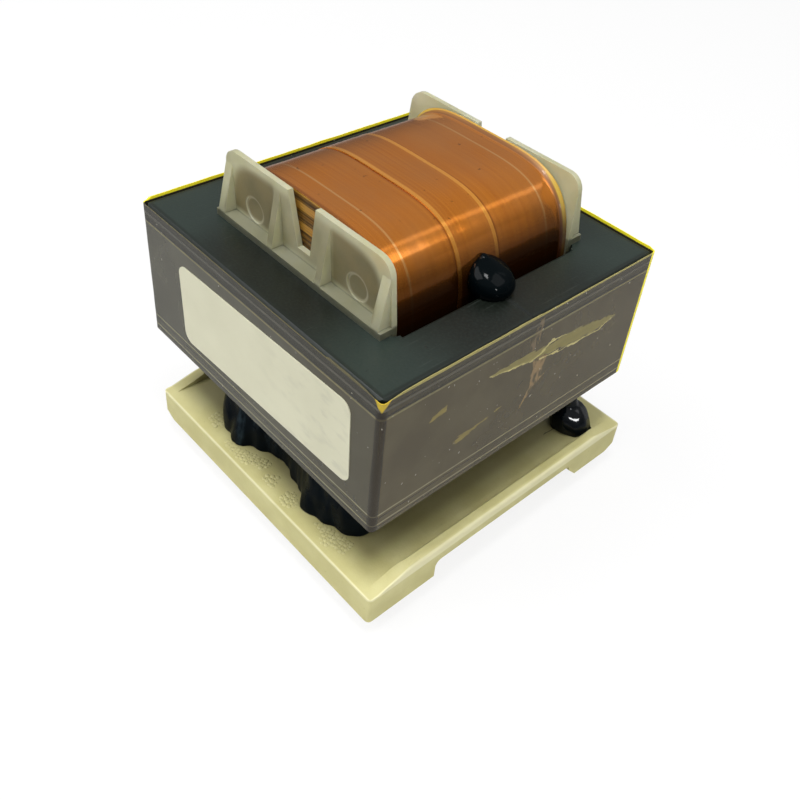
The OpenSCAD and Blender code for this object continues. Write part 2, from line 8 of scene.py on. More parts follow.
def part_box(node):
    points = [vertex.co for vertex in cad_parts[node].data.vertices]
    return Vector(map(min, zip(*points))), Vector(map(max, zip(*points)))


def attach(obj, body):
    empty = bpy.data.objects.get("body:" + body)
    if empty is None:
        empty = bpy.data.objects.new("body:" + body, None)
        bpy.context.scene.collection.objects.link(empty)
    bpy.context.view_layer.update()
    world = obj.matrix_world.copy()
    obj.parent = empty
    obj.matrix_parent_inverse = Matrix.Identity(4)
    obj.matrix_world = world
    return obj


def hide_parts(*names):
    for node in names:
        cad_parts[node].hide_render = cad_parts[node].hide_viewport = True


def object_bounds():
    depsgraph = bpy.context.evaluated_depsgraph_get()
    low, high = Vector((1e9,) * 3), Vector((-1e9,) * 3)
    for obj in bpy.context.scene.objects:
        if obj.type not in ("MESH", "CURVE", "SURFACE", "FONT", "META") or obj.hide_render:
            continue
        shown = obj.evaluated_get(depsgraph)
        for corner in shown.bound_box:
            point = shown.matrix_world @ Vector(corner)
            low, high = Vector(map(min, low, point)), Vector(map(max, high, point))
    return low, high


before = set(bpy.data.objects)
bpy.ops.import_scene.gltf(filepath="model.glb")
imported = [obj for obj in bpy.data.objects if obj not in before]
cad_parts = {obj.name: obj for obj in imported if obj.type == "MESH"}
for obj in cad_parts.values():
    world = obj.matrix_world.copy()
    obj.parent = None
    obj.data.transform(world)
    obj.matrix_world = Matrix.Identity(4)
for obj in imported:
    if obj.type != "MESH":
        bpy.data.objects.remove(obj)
cad_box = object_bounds()

# Base plate: one ivory moulding of filled plastic, with a rib along two sides of its top.
# It stands on two foot rails, and everything else is glued or pressed onto it.


class Wire:
    """A node's socket: arithmetic on it adds Math nodes, and add() makes any other node."""

    def __init__(self, tree, socket=None):
        self.tree = tree
        self.socket = socket

    def add(self, kind, settings, inputs, out=0):
        node = self.tree.nodes.new(kind)
        for name, value in settings.items():
            setattr(node, name, value)
        for name, value in inputs.items():
            if isinstance(value, Wire):
                self.tree.links.new(value.socket, node.inputs[name])
            else:
                node.inputs[name].default_value = value
        return Wire(self.tree, node.outputs[out] if node.outputs else None)

    def math(self, operation, *values):
        return self.add("ShaderNodeMath", {"operation": operation}, dict(enumerate(values)))

    def __add__(self, other):
        return self.math("ADD", self, other)

    def __radd__(self, other):
        return self.math("ADD", other, self)

    def __sub__(self, other):
        return self.math("SUBTRACT", self, other)

    def __rsub__(self, other):
        return self.math("SUBTRACT", other, self)

    def __mul__(self, other):
        return self.math("MULTIPLY", self, other)

    def __rmul__(self, other):
        return self.math("MULTIPLY", other, self)

    def __truediv__(self, other):
        return self.math("DIVIDE", self, other)

    def __rtruediv__(self, other):
        return self.math("DIVIDE", other, self)

    def __abs__(self):
        return self.math("ABSOLUTE", self)

    def step(self, low, high):
        """0 below low, 1 above high, smooth between them; high may be the lower of the two."""
        inputs = {0: self, 1: low, 2: high, 3: 0.0, 4: 1.0}
        return self.add("ShaderNodeMapRange", {"interpolation_type": "SMOOTHSTEP"}, inputs)

    def mix(self, first, second):
        """Colour between two colours, with this socket as the factor."""
        return self.add("ShaderNodeMix", {"data_type": "RGBA"}, {0: self, 6: first, 7: second}, 2)


def paint(red, green, blue):
    """A colour of the screen, 0 to 255, as the linear colour that a node takes."""
    def linear(level):
        level = level / 255
        return level / 12.92 if level <= 0.04045 else ((level + 0.055) / 1.055) ** 2.4

    return linear(red), linear(green), linear(blue), 1.0


def start(name):
    """A new material with no nodes, and the place on the object in millimetres: vector, x, y and z."""
    material = bpy.data.materials.new(name)
    material.use_nodes = True
    material.node_tree.nodes.clear()
    place = Wire(material.node_tree).add("ShaderNodeTexCoord", {}, {}, "Object")
    place = place.add("ShaderNodeVectorMath", {"operation": "SCALE"}, {0: place, "Scale": 1000.0})
    axes = [place.add("ShaderNodeSeparateXYZ", {}, {0: place}, axis) for axis in "XYZ"]
    return material, place, *axes


def cloud(place, scale, detail=3.0, stretch=(1.0, 1.0, 1.0), roughness=0.5):
    """Noise from 0 to 1 whose size is 1 / scale millimetres, finer along the axes with a larger stretch."""
    place = place.add("ShaderNodeVectorMath", {"operation": "MULTIPLY"}, {0: place, 1: stretch})
    return place.add(
        "ShaderNodeTexNoise", {}, {"Vector": place, "Scale": scale, "Detail": detail, "Roughness": roughness}
    )


def bumps(height, depth):
    """Surface normal from a height of 0 to 1 that stands for a depth in millimetres."""
    return height.add("ShaderNodeBump", {}, {"Height": height, "Distance": depth / 1000, "Strength": 1.0})


def finish_shader(place, **inputs):
    """The material's surface shader, with its inputs by name and _ for a space."""
    inputs = {name.replace("_", " "): value for name, value in inputs.items()}
    shader = place.add("ShaderNodeBsdfPrincipled", {}, inputs)
    place.add("ShaderNodeOutputMaterial", {}, {"Surface": shader})


def moulded(node, name, radius):
    """A copy of a CAD node with its sharp edges rounded, as a mould leaves them."""
    piece = bpy.data.objects.new(name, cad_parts[node].data.copy())
    bpy.context.scene.collection.objects.link(piece)
    mesh = bmesh.new()
    mesh.from_mesh(piece.data)
    bmesh.ops.remove_doubles(mesh, verts=mesh.verts, dist=2e-6)
    bmesh.ops.dissolve_limit(mesh, angle_limit=math.radians(0.6), verts=mesh.verts, edges=mesh.edges)
    mesh.to_mesh(piece.data)
    mesh.free()
    piece.data.shade_smooth()
    bevel = piece.modifiers.new("edges", "BEVEL")
    bevel.width = radius
    bevel.segments = 2
    bevel.limit_method = "ANGLE"
    bevel.angle_limit = math.radians(35)
    flat = piece.modifiers.new("flat faces", "WEIGHTED_NORMAL")
    flat.weight = 100
    settle(piece)
    return piece


def settle(piece):
    """Applies a piece's modifiers, and shades it smooth where they leave no normals of their own."""
    shape = piece.evaluated_get(bpy.context.evaluated_depsgraph_get())
    solid = bpy.data.meshes.new_from_object(shape)
    piece.modifiers.clear()
    piece.data = solid
    if not solid.has_custom_normals:
        solid.shade_smooth()


def coat(piece, material):
    """Gives a piece one material in place of any that it has."""
    piece.data.materials.clear()
    piece.data.materials.append(material)


core_x = -1.9
core_y = -0.7


def painted_core_shadow(x, y):
    """Mask of the shadow painted under the core: 1 where the core, whose middle is at core_x and core_y,
    stands well over a place, and 0 outside it.
    """
    return abs(x - core_x).step(26.8, 22.6) * abs(y - core_y).step(26.6, 22.6)


base = moulded("base_plate", "base_moulding", 0.25e-3)
ivory, place, x, y, z = start("ivory_plastic")
mottle = cloud(place, 0.16, 4.0)
grain = cloud(place, 2.2, 2.0)
dust = cloud(place, 0.9, 5.0, roughness=0.7).step(0.62, 0.74)
shade = mottle.step(0.3, 0.75).mix(paint(194, 187, 128), paint(208, 202, 146))
shade = (dust * 0.3).mix(shade, paint(142, 132, 82))
crack = abs(x - 22.0 + cloud(place, 0.5) * 1.5).step(0.14, 0.05)
crack = crack * abs(y - 17.6).step(1.6, 1.0) * z.step(5.2, 5.35)
shade = (crack * 0.8).mix(shade, paint(70, 60, 38))
upper = z.step(4.9, 5.2)
# The base's top is painted dark brown where the core stands over it: a painted shadow under the core.
shadow_under_core = painted_core_shadow(x, y) * upper
shade = (shadow_under_core * 0.66).mix(shade, paint(58, 50, 26))
# The base's top outer edges are painted paler: a painted highlight along the edges.
painted_edge_lighting = abs(x).step(27.55, 27.75) + abs(y).step(29.05, 29.25)
shade = (painted_edge_lighting * upper * 0.6).mix(shade, paint(236, 232, 196))
finish_shader(
    place,
    Base_Color=shade,
    Roughness=0.36 + mottle * 0.2,
    Normal=bumps(grain * 0.35, 0.06),
    Subsurface_Weight=0.08,
    Subsurface_Radius=(0.0016, 0.0014, 0.0008),
    Subsurface_Scale=1.0,
)
coat(base, ivory)
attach(base, "root")
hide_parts("base_plate")

# Pins: two rows of six stepped pins of tinned copper alloy, pressed through the base.
# Their thin ends stand out below the feet and are soldered into a board.
tinned, place, *_ = start("tinned_pin")
smear = cloud(place, 1.6, 3.0, (1.0, 1.0, 0.25))
finish_shader(
    place,
    Base_Color=smear.mix(paint(176, 176, 178), paint(214, 213, 210)),
    Metallic=1.0,
    Roughness=0.26 + smear * 0.2,
    Normal=bumps(smear, 0.02),
)
for node in ("front_pins", "rear_pins"):
    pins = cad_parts[node]
    coat(pins, tinned)

# Bobbin: one nylon moulding, a square tube with a ribbed flange at each end, slotted for the leads.
# It sits in the core's windows and the windings fill it; where they stand behind its thin panels, the panels
# are painted brown, a painted shade of the windings showing through.


def normal_y(place):
    """How far the surface faces along y, from -1 to 1."""
    normal = place.add("ShaderNodeNewGeometry", {}, {}, "Normal")
    return place.add("ShaderNodeSeparateXYZ", {}, {0: normal}, "Y")


coil_z = 30.0
bobbin = moulded("bobbin", "bobbin_moulding", 0.16e-3)
nylon, place, x, y, z = start("milky_nylon")
across = abs(x - core_x)
above = abs(z - coil_z)
facing = (normal_y(place) * y.math("SIGN", y)).step(0.7, 0.9)
glow = cloud(place, 0.16, 3.0)
wide = across * across / 285.0
tall = above * above / 505.0
wide = wide * wide
tall = tall * tall
coil_shade = (wide * wide + tall * tall).step(1.25, 0.7) * above.step(13.5, 14.6)
panel = coil_shade * across.step(6.1, 6.9) * (0.75 + glow * 0.5)
web = coil_shade * across.step(6.9, 6.1)
painted_ledge_shade = above.step(13.7, 13.2)
off = across - 11.6
rise = above - 15.8
ring = off * off + rise * rise
ring = ring.math("SQRT", ring)
painted_ring_highlight = ring.step(1.65, 1.9) * ring.step(2.4, 2.1)
shade = glow.step(0.3, 0.7).mix(paint(216, 214, 174), paint(232, 230, 198))
# The ledge where each flange sits down on the core is painted dark: a painted shade of the dark core under
# the thin nylon.
shade = (painted_ledge_shade * 0.85).mix(shade, paint(84, 88, 72))
brown = glow.step(0.35, 0.65).mix(paint(110, 94, 48), paint(146, 128, 78))
# Where the coil stands behind the flanges' outer faces, they are painted brown: a painted shade of the
# windings seen through the nylon.
shade = ((panel + web * 0.5) * facing * 0.8).mix(shade, brown)
# The moulded rings are painted paler: a painted highlight on their glossy edges.
shade = (painted_ring_highlight * facing * 0.7).mix(shade, paint(226, 220, 192))
finish_shader(
    place,
    Base_Color=shade,
    Roughness=0.26 + glow * 0.18,
    Normal=bumps(cloud(place, 1.4, 2.0), 0.03),
    Transmission_Weight=0.5,
    IOR=1.45,
    Subsurface_Weight=0.25,
    Subsurface_Radius=(0.0014, 0.0012, 0.0008),
    Subsurface_Scale=1.0,
    Coat_Weight=0.25,
    Coat_Roughness=0.15,
)
coat(bobbin, nylon)
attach(bobbin, "root")
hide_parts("bobbin")

# Windings: three layers of enamelled copper wire, wound on the bobbin one over the other.
# Only their edges show, through the flanges' slots.
copper, place, *_ = start("enamelled_copper")
turn = place.add(
    "ShaderNodeTexWave", {"bands_direction": "Y"}, {"Vector": place, "Scale": 0.62, "Distortion": 0.4}
)
tone = cloud(place, 0.3)
finish_shader(
    place,
    Base_Color=(turn * tone).mix(paint(112, 58, 20), paint(196, 122, 58)),
    Metallic=0.85,
    Roughness=0.3 + tone * 0.15,
    Normal=bumps(turn, 0.2),
)
for node in ("inner_primary", "secondary", "outer_primary"):
    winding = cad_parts[node]
    coat(winding, copper)

# Insulation and margins: turns of thin yellow film between the windings and beside them.
# Their edges make the golden and dark layers in the flanges' slots.
for name, nodes, pale, deep in (
    (
        "yellow_film", ("inner_insulation", "middle_insulation", "outer_insulation"),
        (206, 160, 62), (120, 80, 22),
    ),
    ("margin_film", ("front_margin_tapes", "rear_margin_tapes"), (188, 138, 58), (64, 40, 14)),
):
    sheet, place, x, y, z = start(name)
    side = abs(x - core_x) - 10.1
    rise = (abs(z - coil_z) - 13.8) / 1.1625
    build = side.math("MAXIMUM", side, rise)
    turns = cloud(place, 1.0, 3.0, (0.15, 1.0, 0.15))
    layer = build.add(
        "ShaderNodeTexNoise", {"noise_dimensions": "1D"}, {"W": build, "Scale": 4.5, "Detail": 2.0}
    )
    golden = build.step(5.5, 5.7) * build.step(6.7, 6.4) + build.step(2.8, 3.0) * build.step(4.1, 3.9)
    lines = (layer.step(0.52, 0.6) * 0.55 + golden * 0.7).step(0.0, 1.0)
    finish_shader(
        place,
        Base_Color=(lines * (0.7 + turns * 0.5)).mix(paint(*deep), paint(*pale)),
        Roughness=0.22 + turns * 0.2,
        Normal=bumps(layer, 0.08),
    )
    for node in nodes:
        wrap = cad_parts[node]
        coat(wrap, sheet)

# Coil strips: three strips of amber film wound tight over the coil, the middle one lapped over the others.
# The wire shows through as fine streaks, and the laps and the strips' edges show as golden lines.


def piece_from(mesh, name, crease=None):
    """An object from a built mesh, smooth, but sharp at edges that turn by more than a crease in degrees."""
    data = bpy.data.meshes.new(name)
    mesh.to_mesh(data)
    mesh.free()
    data.shade_smooth()
    if crease is not None:
        data.set_sharp_from_angle(angle=math.radians(crease))
    piece = bpy.data.objects.new(name, data)
    bpy.context.scene.collection.objects.link(piece)
    return piece


def coil_strip(name, node, square, lip):
    """A strip's skin around the coil, as square as given, with its rear edge turned up by a lip in metres."""
    low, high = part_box(node)
    middle = (low + high) / 2
    half = (high - low) / 2
    rows = 1 + round((high.y - low.y) / 0.35e-3)
    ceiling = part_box("bobbin")[1].z - 0.03e-3
    ring = 320
    outline = []
    for i in range(ring):
        angle = 2 * math.pi * (i + 0.5) / ring
        c = math.cos(angle)
        s = math.sin(angle)
        reach = (abs(c) ** square + abs(s) ** square) ** (-1 / square)
        outline.append((c * reach, s * reach))
    mesh = bmesh.new()
    grid = []
    for depth in (0.0, 0.13e-3):
        for j in range(rows):
            along = low.y + (high.y - low.y) * j / (rows - 1)
            edge = min(along - low.y, high.y - along)
            row = []
            for c, s in outline:
                spot = Vector((c * half.x * 70, along * 500, s * half.z * 70))
                swell = 0.014e-3 * noise.noise(spot) * min(1.0, edge / 1.0e-3)
                curl = max(0.0, 1.0 - (high.y - along) / 1.1e-3) ** 2 * lip
                across = half.x - depth + swell + curl
                tall = half.z - depth + swell + curl
                height = middle.z + s * tall
                back = along + 0.4 * curl * max(0.0, s)
                row.append(mesh.verts.new((middle.x + c * across, back, min(height, ceiling - depth))))
            grid.append(row)
    count = len(grid)
    for j in range(count - 1):
        if j == rows - 1:
            continue
        for i in range(ring):
            k = (i + 1) % ring
            mesh.faces.new((grid[j][i], grid[j][k], grid[j + 1][k], grid[j + 1][i]))
    for i in range(ring):
        k = (i + 1) % ring
        mesh.faces.new((grid[0][k], grid[0][i], grid[rows][i], grid[rows][k]))
        mesh.faces.new((grid[rows - 1][i], grid[rows - 1][k], grid[count - 1][k], grid[count - 1][i]))
    bmesh.ops.recalc_face_normals(mesh, faces=mesh.faces)
    return piece_from(mesh, name, 50)


amber, place, x, y, z = start("amber_film_on_wire")
along = y - core_y
wire = cloud(place, 1.0, 2.0, (0.04, 3.0, 0.04))
fine = cloud(place, 1.0, 2.0, (0.02, 7.0, 0.02))
tone = cloud(place, 0.08, 3.0, (1.0, 1.4, 1.0))
speck = cloud(place, 0.9, 2.0).step(0.73, 0.77)
strip_low, strip_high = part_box("coil_tape_middle")
strip_half = (strip_high.y - strip_low.y) * 500
off = abs(y - (strip_low.y + strip_high.y) * 500)
lap = off.step(strip_half - 0.75, strip_half - 0.6) * off.step(strip_half + 0.05, strip_half - 0.05)
shadow = off.step(strip_half, strip_half + 0.08) * off.step(strip_half + 0.5, strip_half + 0.15)
margin = abs(abs(along) - 13.6).step(0.26, 0.1)
beside = abs(x - core_x).step(10.0, 15.0)
rear_edge = (along + beside * 0.25).step(17.24, 17.36)
rear_curl_shade = along.step(16.3, 16.8)
front_flange_shade = along.step(-16.5, -17.1)
streaks = (wire * 0.55 + fine * 0.45).step(0.25, 0.75)
shade = streaks.mix(paint(206, 118, 36), paint(226, 140, 48))
shade = (tone.step(0.3, 0.7) * 0.6).mix(shade, paint(206, 134, 70))
deep = abs(x - core_x).step(12.5, 16.5) * z.step(51.0, 43.6)
brim = abs(normal_y(place)).step(0.4, 0.7)
shade = (margin * 0.35).mix(shade, paint(250, 204, 140))
shade = (lap * 0.6).mix(shade, paint(238, 168, 70))
shade = (shadow * 0.5).mix(shade, paint(130, 66, 16))
# Along the curl at the rear flange and along the front flange the film is painted darker brown: painted shade
# where the coil meets the flanges.
shade = (rear_curl_shade * 0.9).mix(shade, paint(104, 66, 30))
shade = (rear_edge * 0.85).mix(shade, beside.mix(paint(196, 156, 52), paint(216, 200, 60)))
shade = (front_flange_shade * 0.5).mix(shade, paint(124, 62, 20))
shade = (brim * 0.8).mix(shade, paint(176, 126, 48))
# The coil's lower sides are painted dark brown: a painted shade and dark reflection of the core's leg below
# them.
shade = (deep * 0.92).mix(shade, paint(48, 18, 3))
shade = (speck * 0.5).mix(shade, paint(70, 36, 14))
finish_shader(
    place,
    Base_Color=shade,
    Metallic=(0.86 - lap * 0.15 - rear_curl_shade * 0.66) * (1.0 - brim * 0.8),
    Roughness=0.12 + tone * 0.06 + rear_curl_shade * 0.3,
    Normal=bumps(wire * 0.6 + fine * 0.4, 0.004),
    Coat_Weight=0.12,
    Coat_Roughness=0.05,
)
for node, square, lip in (
    ("coil_tape_front", 4.1125, 0.0), ("coil_tape_middle", 4.0, 0.0), ("coil_tape_rear", 4.1125, 0.6e-3),
):
    strip = coil_strip(node + "_skin", node, square, lip)
    coat(strip, amber)
    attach(strip, "root")
    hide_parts(node)

# Core: two E-shaped halves of pressed ferrite laid flat, whose legs meet inside and beside the coil.
# The ground and sealed faces are dark slate with a fine grain and pale scratches, painted darker near the
# coil and paler toward the corners, a painted shade and reflection, and painted near-black along the top's
# outer edge, a painted shade of the film's lip.
ferrite, place, x, y, z = start("sealed_ferrite")
cx = abs(x - core_x)
cy = abs(y - core_y)
grain = cloud(place, 2.6, 3.0)
patch = cloud(place, 0.06, 4.0)
scratch = cloud(place, 1.0, 2.0, (3.0, 0.1, 1.0)).step(0.68, 0.76)
pit = cloud(place, 1.5, 2.0).step(0.70, 0.76)
painted_edge_lighting = cx.math("MAXIMUM", cx, cy).step(26.4, 26.8)
ends = (cx.math("MINIMUM", cx, cy) + patch * 10.0).step(12.0, 26.0)
# Darker toward the coil and paler toward the corners: painted shade from the coil and painted reflection at
# the corners.
shade = ends.mix(paint(6, 12, 5), paint(32, 43, 38))
shade = (grain.step(0.4, 0.7) * 0.2).mix(shade, paint(46, 55, 50))
shade = (pit * 0.5).mix(shade, paint(14, 18, 16))
shade = (scratch * 0.12).mix(shade, paint(104, 112, 106))
# Along the top's outer edge the ferrite is painted near-black: a painted shade of the film's lip.
shade = (painted_edge_lighting * 0.75).mix(shade, paint(16, 24, 19))
joint = cy.step(0.4, 0.2)
shade = (joint * 0.7).mix(shade, paint(14, 20, 16))
finish_shader(
    place,
    Base_Color=shade,
    Roughness=0.3 + patch * 0.2 + joint * 0.4,
    Normal=bumps(grain - pit * 0.5, 0.014),
    Specular_IOR_Level=0.4,
)
for node in ("core_half_front", "core_half_rear"):
    half = moulded(node, node + "_ferrite", 0.12e-3)
    coat(half, ferrite)
    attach(half, "root")
    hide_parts(node)

# Core tapes: a narrow and a wide band of clear yellow film pulled tight around the core.
# The wide band's top edge stands proud of the core as a yellow lip, and its right side is scuffed and torn.
inner_band, place, *_ = start("inner_film")
sheet = cloud(place, 0.5, 3.0)
finish_shader(
    place,
    Base_Color=sheet.mix(paint(112, 104, 74), paint(140, 130, 92)),
    Roughness=0.2 + sheet * 0.15,
    Normal=bumps(sheet, 0.03),
)
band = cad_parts["core_tape_inner"]
coat(band, inner_band)


def band_path(half_x, half_y, radius, gap):
    """Points around a rounded rectangle, a gap apart on its sides, from the right end of its -Y side on."""
    corners = ((1, -1, -90), (1, 1, 0), (-1, 1, 90), (-1, -1, 180))
    points = []
    for sx, sy, turn in corners:
        centre = Vector((sx * (half_x - radius), sy * (half_y - radius)))
        for i in range(7):
            angle = math.radians(turn + 15 * i)
            points.append(centre + radius * Vector((math.cos(angle), math.sin(angle))))
    path = []
    for i, point in enumerate(points):
        after = points[(i + 1) % len(points)]
        steps = max(1, round((after - point).length / gap))
        for k in range(steps):
            path.append(point.lerp(after, k / steps))
    return path


low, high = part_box("core_tape_outer")
middle = (low + high) / 2
half = (high - low) / 2
core_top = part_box("core_half_front")[1].z
lift = (0.0, 0.02, 0.06, 0.12, 0.2, 0.32, 0.46, 0.6, 0.72, 0.82, 0.88, 0.92, 0.95, 0.97, 0.985, 1.0)
mesh = bmesh.new()
columns = []
for point in band_path(half.x, half.y, 0.8e-3, 0.5e-3):
    sx = point.x * 1000
    sy = point.y * 1000
    wave = noise.noise(Vector((sx * 0.22, sy * 0.22, 3.0)))
    lip = 0.42 + 0.1 * wave
    if sy < -27.0:
        lip = 0.04 + 0.05 * wave if sx < 17.2 else 0.32 + 0.06 * wave
    if sx > 27.0:
        lip = 0.36 + 0.08 * wave if sy < 1.2 else 0.22 + 0.08 * wave
    corner = math.hypot(sx - 27.6, sy + 27.6)
    if corner < 4.0:
        lip -= 0.6 * (1 - corner / 4.0) ** 1.6
    top = core_top + min(0.49, lip) * 1e-3
    inside = Vector((point.x * (1 - 0.12e-3 / half.x), point.y * (1 - 0.12e-3 / half.y)))
    column = []
    for part in lift:
        height = low.z + (top - low.z) * part
        ripple = 0.04e-3 * noise.noise(Vector((sx * 0.3, sy * 0.3, height * 260)))
        pull = 1 - abs(ripple) / half.x
        column.append(mesh.verts.new((middle.x + point.x * pull, middle.y + point.y * pull, height)))
    for part in reversed(lift):
        height = low.z + (top - low.z) * part
        column.append(mesh.verts.new((middle.x + inside.x, middle.y + inside.y, height)))
    columns.append(column)
tall = len(columns[0])
for i, column in enumerate(columns):
    after = columns[(i + 1) % len(columns)]
    for j in range(tall):
        k = (j + 1) % tall
        mesh.faces.new((column[j], after[j], after[k], column[k]))
bmesh.ops.recalc_face_normals(mesh, faces=mesh.faces)
wide = piece_from(mesh, "core_band", 60)

film, place, x, y, z = start("film_on_ferrite")
core_z = 17.7
cx = x - core_x
cy = y - core_y
up = z - core_z


def stroke(u, v, first, last, wide, narrow):
    """A soft stroke in a plane from one point to another, half as wide at either end as given there."""
    run_u = last[0] - first[0]
    run_v = last[1] - first[1]
    length = math.hypot(run_u, run_v)
    t = ((u - first[0]) * (run_u / length) + (v - first[1]) * (run_v / length)) / length
    off = abs((v - first[1]) * (run_u / length) - (u - first[0]) * (run_v / length))
    breadth = wide + (narrow - wide) * t
    ends = t.step(-0.03, 0.04) * t.step(1.03, 0.96)
    return (off / breadth).step(1.0, 0.7) * ends


def strokes(u, v, lines):
    """Several strokes as one, each given by its two ends and its two widths."""
    drawn = stroke(u, v, *lines[0])
    for line in lines[1:]:
        drawn = drawn.math("MAXIMUM", drawn, stroke(u, v, *line))
    return drawn


sheet = cloud(place, 0.12, 3.0)
fine = cloud(place, 0.8, 4.0, (1.0, 1.0, 0.4))
torn = cloud(place, 0.9, 3.0, (1.0, 1.6, 0.7))
right = cx.step(27.3, 27.65)
back = (cx * -1.0).step(27.3, 27.65) + cy.step(27.3, 27.65)
shade = sheet.step(0.3, 0.7).mix(paint(76, 74, 62), paint(87, 85, 72))
warm = sheet.step(0.3, 0.7).mix(paint(78, 70, 50), paint(88, 80, 58))
shade = (cx.step(4.0, 25.0) * 0.6).mix(shade, paint(72, 66, 46))
shade = right.mix(shade, warm)
shade = (up.step(21.5, 21.9) * (0.85 - right * 0.35)).mix(shade, paint(50, 48, 38))
shade = (abs(up - 21.7).step(0.24, 0.1) * (0.2 + fine * 0.5)).mix(shade, paint(150, 142, 98))
shade = (abs(up - 22.2).step(0.22, 0.1) * 0.7).mix(shade, paint(38, 36, 30))
shade = (abs(up - 23.3).step(0.3, 0.1) * 0.4).mix(shade, paint(104, 102, 94))
shade = (abs(up - 23.75).step(0.16, 0.06) * 0.6).mix(shade, paint(40, 38, 32))
low_lines = abs(up - 3.6).step(0.18, 0.07) + abs(up - 1.7).step(0.18, 0.07)
shade = (low_lines * (0.3 + fine * 0.4)).mix(shade, paint(168, 162, 128))
shade = ((abs(up - 2.9).step(0.16, 0.06) + abs(up - 1.2).step(0.2, 0.06)) * 0.5).mix(shade, paint(46, 43, 36))
sheen = cloud(place, 1.0, 3.0, (1.0, 0.35, 1.6))
ragged_y = cy + (torn - 0.5) * 1.4
ragged_up = up + (sheen - 0.5) * 1.5
wing = strokes(ragged_y, ragged_up, (
    ((-8.2, 18.35), (1.2, 17.5), 0.12, 1.0),
    ((0.8, 17.3), (4.2, 17.0), 0.9, 1.0),
    ((3.8, 17.0), (10.5, 16.5), 0.9, 1.5),
    ((10.1, 16.5), (16.3, 15.95), 1.5, 1.15),
    ((15.9, 16.0), (20.8, 15.7), 1.2, 0.1),
))
tail = strokes(ragged_y, ragged_up, (
    ((3.1, 16.2), (2.6, 11.2), 1.7, 1.0),
    ((2.6, 11.6), (0.5, 7.6), 0.7, 0.1),
    ((2.4, 11.0), (4.9, 12.3), 0.5, 0.2),
))
head = stroke(ragged_y, ragged_up, (1.5, 24.0), (0.8, 17.8), 0.8, 1.1)
ridge = strokes(ragged_y, ragged_up, (
    ((0.6, 16.5), (2.8, 17.0), 0.2, 0.24),
    ((2.7, 16.9), (4.9, 18.4), 0.24, 0.2),
    ((4.7, 18.4), (8.4, 17.7), 0.2, 0.05),
    ((2.6, 16.1), (8.2, 15.1), 0.1, 0.16),
    ((8.0, 15.1), (16.5, 14.6), 0.16, 0.2),
    ((16.3, 14.6), (20.7, 15.6), 0.2, 0.06),
    ((-8.2, 18.3), (0.8, 16.6), 0.08, 0.22),
))
shade = (wing * right * (0.5 + sheen * 0.6)).mix(shade, paint(142, 132, 72))
shade = (tail * right * torn.step(0.34, 0.56) * 0.85).mix(shade, paint(146, 120, 80))
shade = (head * right * torn.step(0.4, 0.62) * 0.5).mix(shade, paint(134, 114, 84))
# The pale lines along the creases' ridges are painted highlight; the creased patch around them is the film's
# own paler colour.
shade = (ridge * right * (0.6 + sheen * 0.5)).mix(shade, paint(196, 184, 120))
smear = stroke(ragged_y, ragged_up, (-13.2, 9.1), (-6.8, 10.1), 0.6, 0.2)
smear = smear + stroke(ragged_y, ragged_up, (-5.4, 10.5), (-4.0, 10.7), 0.35, 0.1)
smear = smear + stroke(ragged_y, ragged_up, (-19.0, 16.5), (-16.0, 17.2), 0.25, 0.7)
shade = (smear * right * (0.3 + sheen * 0.6)).mix(shade, paint(150, 134, 66))
lip = up.step(24.5, 24.62)
# The lip's top edge is khaki, painted much brighter on the right side than on the front: a painted highlight
# along the right side's edge.
shade = (lip * 0.9).mix(shade, right.mix(paint(92, 86, 56), paint(158, 148, 86)))
# Along the back faces and down the rear right corner the film is painted bright yellow and made to glow: a
# painted glow standing in for light shining through the film from behind.
painted_backlight = (lip * back + (cx + cy).step(54.3, 54.9) * (cx - cy).step(-0.4, 0.0)).step(0.0, 0.9)
shade = painted_backlight.mix(shade, paint(246, 232, 50))
corner = (cx - 27.7) * (cx - 27.7) + (cy + 27.7) * (cy + 27.7)
corner = corner.math("SQRT", corner)
amber_fold = ((up - 22.9) * 0.7 - corner + torn * 0.6).step(0.1, 0.5)
shade = (amber_fold * 0.85).mix(shade, paint(202, 172, 34))
# A thin dark line down the front right corner is painted shade and dark reflection of the corner's rounding.
painted_corner_shade = (cx - cy).step(54.5, 55.0) * up.step(23.2, 22.8)
shade = (painted_corner_shade * 0.75).mix(shade, paint(34, 26, 14))
specks = cloud(place, 1.3, 2.0).step(0.725, 0.75)
shade = (specks * 0.6).mix(shade, paint(190, 186, 172))
finish_shader(
    place,
    Base_Color=shade,
    Roughness=0.17 + sheet * 0.12 + wing * 0.12,
    Normal=bumps(sheet * 0.8 + fine * 0.1 + wing * 0.2 + ridge * 0.3, 0.05),
    Coat_Weight=0.35,
    Coat_Roughness=0.07,
    # This yellow glow is painted light; the film is no lamp.
    Emission_Color=painted_backlight.mix((0, 0, 0, 1), paint(235, 222, 40)),
    Emission_Strength=0.16,
)
coat(wide, film)
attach(wide, "root")
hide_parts("core_tape_outer")

# Label: a small cream paper sticker with rounded corners, stuck on the film of the front side.
# It is bare, and faintly smudged toward its right end.
paper, place, x, y, z = start("label_paper")
fibre = cloud(place, 4.0, 3.0, (1.0, 1.0, 1.6))
tone = cloud(place, 0.12, 3.0)
smudge = cloud(place, 0.35, 4.0, (0.6, 1.0, 1.4)).step(0.50, 0.68) * x.step(-4.0, 16.0)
shade = tone.mix(paint(198, 196, 170), paint(214, 212, 186))
shade = (smudge * 0.22).mix(shade, paint(150, 148, 136))
finish_shader(
    place,
    Base_Color=shade,
    Roughness=0.55 + fibre * 0.15,
    Normal=bumps(fibre, 0.012),
)
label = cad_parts["label"]
coat(label, paper)

